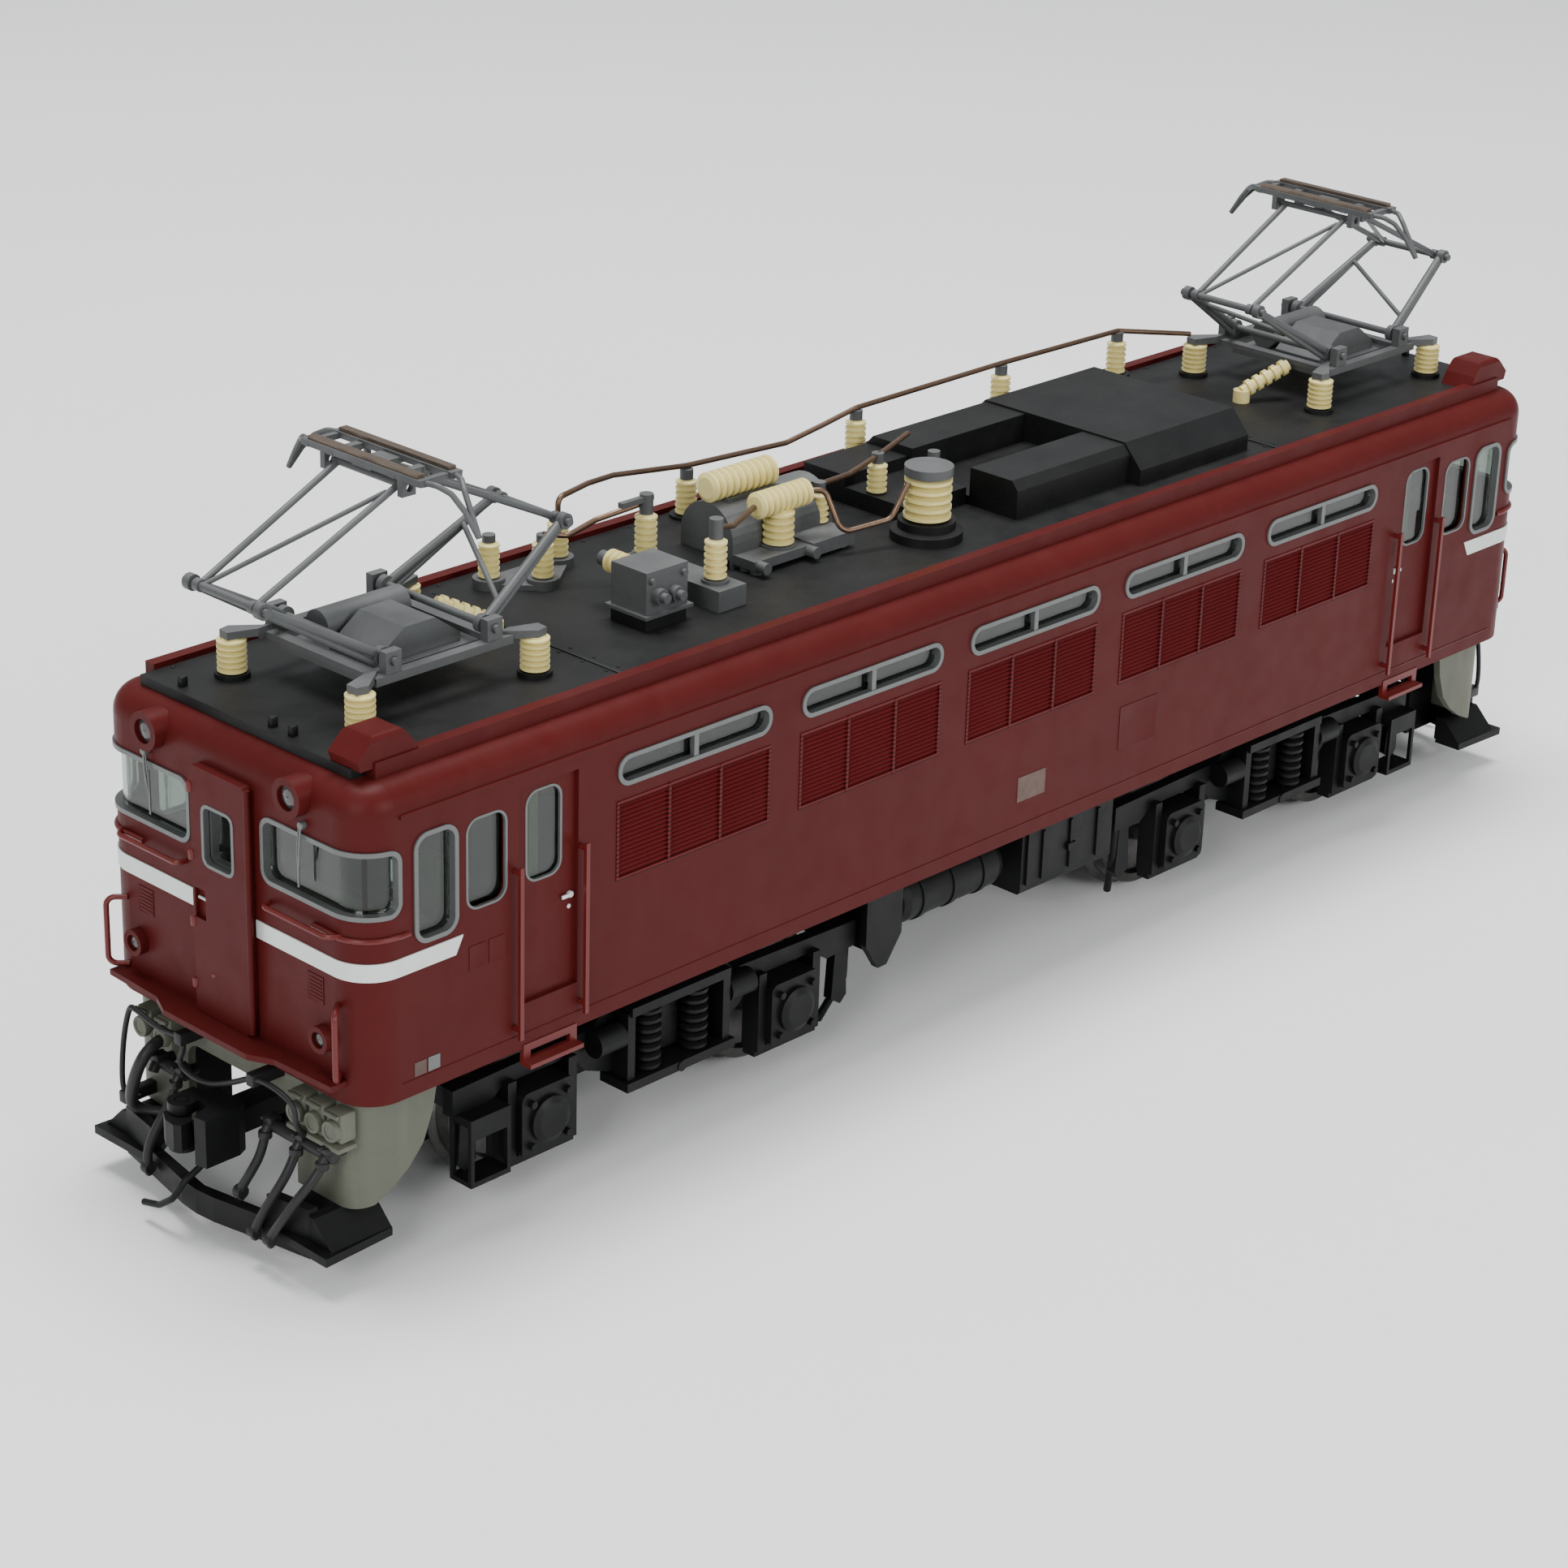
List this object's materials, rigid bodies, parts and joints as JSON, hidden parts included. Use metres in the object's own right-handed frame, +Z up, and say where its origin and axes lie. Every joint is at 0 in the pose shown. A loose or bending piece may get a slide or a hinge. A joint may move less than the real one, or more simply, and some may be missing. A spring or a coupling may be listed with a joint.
{
  "type": "model electric locomotive",
  "caption": "Scale model electric locomotive: maroon body with two cabs, black roof with two pantographs and insulators, two powered bogies, knuckle couplers.",
  "frame": {"origin": "centre of the footprint, at the height of the bottoms of the wheel flanges", "axes": "+X along the train towards the rear cab, +Y across, +Z up"},
  "size_m": [0.1788, 0.037, 0.0665],
  "materials": {
    "maroon_paint": "satin maroon body paint",
    "louvre_paint": "satin dark red louvres",
    "rail_paint": "brighter red rails and steps",
    "roof_black": "matt black roof",
    "silver_frame": "silver grey window frames",
    "cab_glass": "clear glazing",
    "lamp_glass": "lamp lenses",
    "ceramic_cream": "cream insulators",
    "gear_grey": "mid grey roof gear",
    "copper_wire": "copper wire",
    "contact_copper": "copper coloured contact strips",
    "pilot_grey": "warm grey pilot",
    "underframe_black": "matt black running gear",
    "die_cast": "blackened die-cast metal",
    "wheel_steel": "blackened steel wheels",
    "gear_plastic": "natural gear plastic",
    "worm_brass": "brass worm and flywheels",
    "motor_steel": "plated motor can",
    "board_green": "green circuit board",
    "cab_green": "pale green cab interior"
  },
  "bodies": {
    "locomotive_body": {"body_shell": "maroon_paint", "window_frames": "silver_frame", "window_glass": "cab_glass", "side_louvres": "louvre_paint", "side_doors": "maroon_paint", "gangway_doors": "maroon_paint", "handrails": "rail_paint", "lamp_lenses": "lamp_glass", "roof_panel": "roof_black", "roof_ventilators": "roof_black", "whistle_covers": "maroon_paint", "roof_insulators": "ceramic_cream", "insulator_caps": "gear_grey", "roof_equipment": "gear_grey", "circuit_breaker": "gear_grey", "bus_wires": "copper_wire", "chassis_frame": "die_cast", "underfloor_gear": "underframe_black", "pilot_skirts": "pilot_grey", "snow_ploughs": "underframe_black", "motor_can": "motor_steel", "circuit_board": "board_green", "cab_interiors": "cab_green", "front_pantograph_base": "gear_grey", "rear_pantograph_base": "gear_grey"},
    "motor_rotor": {"motor_shaft": "worm_brass"},
    "front_bogie": {"front_bogie_frame": "die_cast", "front_bogie_sideframes": "underframe_black", "front_bogie_springs": "underframe_black"},
    "front_bogie_worm": {"front_bogie_worm": "worm_brass"},
    "front_bogie_worm_wheel": {"front_bogie_worm_wheel": "gear_plastic"},
    "front_bogie_idler_front": {"front_bogie_idler_front": "gear_plastic"},
    "front_bogie_idler_rear": {"front_bogie_idler_rear": "gear_plastic"},
    "front_bogie_wheelset_front": {"front_bogie_wheelset_front": "wheel_steel"},
    "front_bogie_wheelset_rear": {"front_bogie_wheelset_rear": "wheel_steel"},
    "front_pantograph_lower_front": {"front_pantograph_lower_front": "gear_grey"},
    "front_pantograph_upper_front": {"front_pantograph_upper_front": "gear_grey"},
    "front_pantograph_lower_rear": {"front_pantograph_lower_rear": "gear_grey"},
    "front_pantograph_upper_rear": {"front_pantograph_upper_rear": "gear_grey"},
    "front_pantograph_head": {"front_pantograph_head": "gear_grey", "front_pantograph_contact_strips": "contact_copper"},
    "front_coupler_drawbar": {"front_coupler_drawbar": "underframe_black"},
    "front_coupler_knuckle": {"front_coupler_knuckle": "underframe_black"},
    "rear_bogie": {"rear_bogie_frame": "die_cast", "rear_bogie_sideframes": "underframe_black", "rear_bogie_springs": "underframe_black"},
    "rear_bogie_worm": {"rear_bogie_worm": "worm_brass"},
    "rear_bogie_worm_wheel": {"rear_bogie_worm_wheel": "gear_plastic"},
    "rear_bogie_idler_front": {"rear_bogie_idler_front": "gear_plastic"},
    "rear_bogie_idler_rear": {"rear_bogie_idler_rear": "gear_plastic"},
    "rear_bogie_wheelset_front": {"rear_bogie_wheelset_front": "wheel_steel"},
    "rear_bogie_wheelset_rear": {"rear_bogie_wheelset_rear": "wheel_steel"},
    "rear_pantograph_lower_front": {"rear_pantograph_lower_front": "gear_grey"},
    "rear_pantograph_upper_front": {"rear_pantograph_upper_front": "gear_grey"},
    "rear_pantograph_lower_rear": {"rear_pantograph_lower_rear": "gear_grey"},
    "rear_pantograph_upper_rear": {"rear_pantograph_upper_rear": "gear_grey"},
    "rear_pantograph_head": {"rear_pantograph_head": "gear_grey", "rear_pantograph_contact_strips": "contact_copper"},
    "rear_coupler_drawbar": {"rear_coupler_drawbar": "underframe_black"},
    "rear_coupler_knuckle": {"rear_coupler_knuckle": "underframe_black"}
  },
  "joints": [
    {"name": "motor_spin", "type": "hinge", "parent": "locomotive_body", "child": "motor_rotor", "pos_m": [0, 0, 0.02485], "axis": [1, 0, 0], "continuous": true},
    {"name": "front_bogie_swivel", "type": "hinge", "parent": "locomotive_body", "child": "front_bogie", "pos_m": [-0.0448, 0, 0.0198], "axis": [0, 0, 1], "range_deg": [-6, 6]},
    {"name": "front_bogie_worm_spin", "type": "hinge", "parent": "front_bogie", "child": "front_bogie_worm", "pos_m": [-0.0448, 0, 0.02485], "axis": [1, 0, 0], "continuous": true},
    {"name": "front_bogie_worm_wheel_spin", "type": "hinge", "parent": "front_bogie", "child": "front_bogie_worm_wheel", "pos_m": [-0.0448, 0, 0.018], "axis": [0, 1, 0], "continuous": true},
    {"name": "front_bogie_idler_front_spin", "type": "hinge", "parent": "front_bogie", "child": "front_bogie_idler_front", "pos_m": [-0.05137, 0, 0.01046], "axis": [0, 1, 0], "continuous": true},
    {"name": "front_bogie_idler_rear_spin", "type": "hinge", "parent": "front_bogie", "child": "front_bogie_idler_rear", "pos_m": [-0.03823, 0, 0.01046], "axis": [0, 1, 0], "continuous": true},
    {"name": "front_bogie_wheelset_front_spin", "type": "hinge", "parent": "front_bogie", "child": "front_bogie_wheelset_front", "pos_m": [-0.06042, 0, 0.0076], "axis": [0, 1, 0], "continuous": true},
    {"name": "front_bogie_wheelset_rear_spin", "type": "hinge", "parent": "front_bogie", "child": "front_bogie_wheelset_rear", "pos_m": [-0.02917, 0, 0.0076], "axis": [0, 1, 0], "continuous": true},
    {"name": "front_pantograph_raise", "type": "hinge", "parent": "locomotive_body", "child": "front_pantograph_lower_front", "pos_m": [-0.0713, 0, 0.0514], "axis": [0, 1, 0], "range_deg": [-19, 21]},
    {"name": "front_pantograph_upper_front_fold", "type": "hinge", "parent": "front_pantograph_lower_front", "child": "front_pantograph_upper_front", "pos_m": [-0.08228, 0, 0.05758], "axis": [0, 1, 0], "range_deg": [-39.2, 35.5]},
    {"name": "front_pantograph_head_level", "type": "hinge", "parent": "front_pantograph_upper_front", "child": "front_pantograph_head", "pos_m": [-0.0671, 0, 0.06479], "axis": [0, 1, 0], "range_deg": [-16.4, 18.1]},
    {"name": "front_pantograph_lower_rear_fold", "type": "hinge", "parent": "locomotive_body", "child": "front_pantograph_lower_rear", "pos_m": [-0.0601, 0, 0.0514], "axis": [0, 1, 0], "range_deg": [-21.1, 19.1]},
    {"name": "front_pantograph_upper_rear_fold", "type": "hinge", "parent": "front_pantograph_lower_rear", "child": "front_pantograph_upper_rear", "pos_m": [-0.04912, 0, 0.05758], "axis": [0, 1, 0], "range_deg": [-35.5, 39.2]},
    {"name": "front_coupler_swing", "type": "hinge", "parent": "locomotive_body", "child": "front_coupler_drawbar", "pos_m": [-0.0745, 0, 0.0101], "axis": [0, 0, 1], "range_deg": [-8, 8], "stiffness_Nm_per_rad": 0.0005},
    {"name": "front_coupler_knuckle_open", "type": "hinge", "parent": "front_coupler_drawbar", "child": "front_coupler_knuckle", "pos_m": [-0.0872, 0.002, 0.0101], "axis": [0, 0, 1], "range_deg": [-35, 0], "stiffness_Nm_per_rad": 0.0001},
    {"name": "rear_bogie_swivel", "type": "hinge", "parent": "locomotive_body", "child": "rear_bogie", "pos_m": [0.0448, 0, 0.0198], "axis": [0, 0, 1], "range_deg": [-6, 6]},
    {"name": "rear_bogie_worm_spin", "type": "hinge", "parent": "rear_bogie", "child": "rear_bogie_worm", "pos_m": [0.0448, 0, 0.02485], "axis": [1, 0, 0], "continuous": true},
    {"name": "rear_bogie_worm_wheel_spin", "type": "hinge", "parent": "rear_bogie", "child": "rear_bogie_worm_wheel", "pos_m": [0.0448, 0, 0.018], "axis": [0, 1, 0], "continuous": true},
    {"name": "rear_bogie_idler_front_spin", "type": "hinge", "parent": "rear_bogie", "child": "rear_bogie_idler_front", "pos_m": [0.03823, 0, 0.01046], "axis": [0, 1, 0], "continuous": true},
    {"name": "rear_bogie_idler_rear_spin", "type": "hinge", "parent": "rear_bogie", "child": "rear_bogie_idler_rear", "pos_m": [0.05137, 0, 0.01046], "axis": [0, 1, 0], "continuous": true},
    {"name": "rear_bogie_wheelset_front_spin", "type": "hinge", "parent": "rear_bogie", "child": "rear_bogie_wheelset_front", "pos_m": [0.02917, 0, 0.0076], "axis": [0, 1, 0], "continuous": true},
    {"name": "rear_bogie_wheelset_rear_spin", "type": "hinge", "parent": "rear_bogie", "child": "rear_bogie_wheelset_rear", "pos_m": [0.06042, 0, 0.0076], "axis": [0, 1, 0], "continuous": true},
    {"name": "rear_pantograph_raise", "type": "hinge", "parent": "locomotive_body", "child": "rear_pantograph_lower_front", "pos_m": [0.0601, 0, 0.0514], "axis": [0, 1, 0], "range_deg": [-19, 21]},
    {"name": "rear_pantograph_upper_front_fold", "type": "hinge", "parent": "rear_pantograph_lower_front", "child": "rear_pantograph_upper_front", "pos_m": [0.04912, 0, 0.05758], "axis": [0, 1, 0], "range_deg": [-39.2, 35.5]},
    {"name": "rear_pantograph_head_level", "type": "hinge", "parent": "rear_pantograph_upper_front", "child": "rear_pantograph_head", "pos_m": [0.0643, 0, 0.06479], "axis": [0, 1, 0], "range_deg": [-16.4, 18.1]},
    {"name": "rear_pantograph_lower_rear_fold", "type": "hinge", "parent": "locomotive_body", "child": "rear_pantograph_lower_rear", "pos_m": [0.0713, 0, 0.0514], "axis": [0, 1, 0], "range_deg": [-21.1, 19.1]},
    {"name": "rear_pantograph_upper_rear_fold", "type": "hinge", "parent": "rear_pantograph_lower_rear", "child": "rear_pantograph_upper_rear", "pos_m": [0.08228, 0, 0.05758], "axis": [0, 1, 0], "range_deg": [-35.5, 39.2]},
    {"name": "rear_coupler_swing", "type": "hinge", "parent": "locomotive_body", "child": "rear_coupler_drawbar", "pos_m": [0.0745, 0, 0.0101], "axis": [0, 0, 1], "range_deg": [-8, 8], "stiffness_Nm_per_rad": 0.0005},
    {"name": "rear_coupler_knuckle_open", "type": "hinge", "parent": "rear_coupler_drawbar", "child": "rear_coupler_knuckle", "pos_m": [0.0872, -0.002, 0.0101], "axis": [0, 0, 1], "range_deg": [-35, 0], "stiffness_Nm_per_rad": 0.0001}
  ],
  "couplings": [
    {"joint": "front_bogie_worm_spin", "follows": "motor_spin", "ratio": 1},
    {"joint": "front_bogie_worm_wheel_spin", "follows": "motor_spin", "ratio": 0.05},
    {"joint": "front_bogie_idler_front_spin", "follows": "motor_spin", "ratio": -0.05},
    {"joint": "front_bogie_idler_rear_spin", "follows": "motor_spin", "ratio": -0.05},
    {"joint": "front_bogie_wheelset_front_spin", "follows": "motor_spin", "ratio": 0.055556},
    {"joint": "front_bogie_wheelset_rear_spin", "follows": "motor_spin", "ratio": 0.055556},
    {"joint": "front_pantograph_upper_front_fold", "follows": "front_pantograph_raise", "ratio": -1.857},
    {"joint": "front_pantograph_head_level", "follows": "front_pantograph_raise", "ratio": 0.857},
    {"joint": "front_pantograph_lower_rear_fold", "follows": "front_pantograph_raise", "ratio": -1},
    {"joint": "front_pantograph_upper_rear_fold", "follows": "front_pantograph_raise", "ratio": 1.857},
    {"joint": "rear_bogie_worm_spin", "follows": "motor_spin", "ratio": 1},
    {"joint": "rear_bogie_worm_wheel_spin", "follows": "motor_spin", "ratio": 0.05},
    {"joint": "rear_bogie_idler_front_spin", "follows": "motor_spin", "ratio": -0.05},
    {"joint": "rear_bogie_idler_rear_spin", "follows": "motor_spin", "ratio": -0.05},
    {"joint": "rear_bogie_wheelset_front_spin", "follows": "motor_spin", "ratio": 0.055556},
    {"joint": "rear_bogie_wheelset_rear_spin", "follows": "motor_spin", "ratio": 0.055556},
    {"joint": "rear_pantograph_upper_front_fold", "follows": "rear_pantograph_raise", "ratio": -1.857},
    {"joint": "rear_pantograph_head_level", "follows": "rear_pantograph_raise", "ratio": 0.857},
    {"joint": "rear_pantograph_lower_rear_fold", "follows": "rear_pantograph_raise", "ratio": -1},
    {"joint": "rear_pantograph_upper_rear_fold", "follows": "rear_pantograph_raise", "ratio": 1.857}
  ]
}
